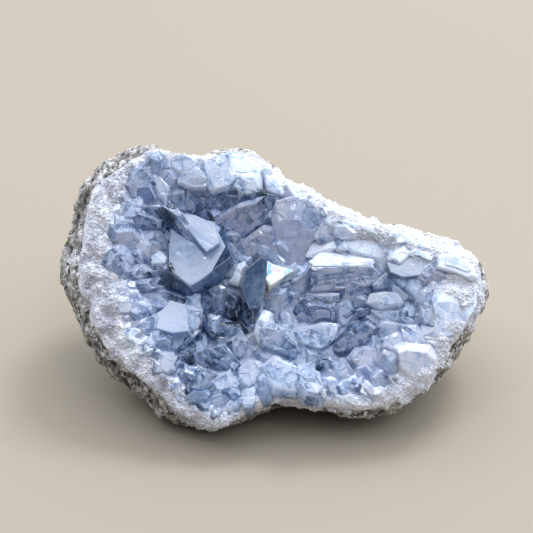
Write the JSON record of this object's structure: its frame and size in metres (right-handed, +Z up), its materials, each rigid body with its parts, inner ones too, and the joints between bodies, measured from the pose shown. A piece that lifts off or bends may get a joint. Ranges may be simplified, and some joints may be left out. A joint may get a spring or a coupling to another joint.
{
  "type": "celestite crystal cluster",
  "caption": "Piece of a geode with pale blue celestite crystals in its hollow, standing on a flat patch of its rough grey rock as a display mineral.",
  "frame": {"origin": "middle of the piece's footprint box, on the plane that it rests on", "axes": "+Z up, +X to the right along the longest side as seen from the front, -Y out of the crystal face towards the viewer"},
  "size_m": [0.0992, 0.0679, 0.052],
  "materials": {
    "matrix_rock": "rough, gritty, grey and white speckled rind",
    "crystal_crust": "glassy, see-through pale blue crystals, frosted white towards the rim"
  },
  "bodies": {
    "root": {"matrix_rock": "matrix_rock", "crystal_crust": "crystal_crust"}
  },
  "joints": []
}
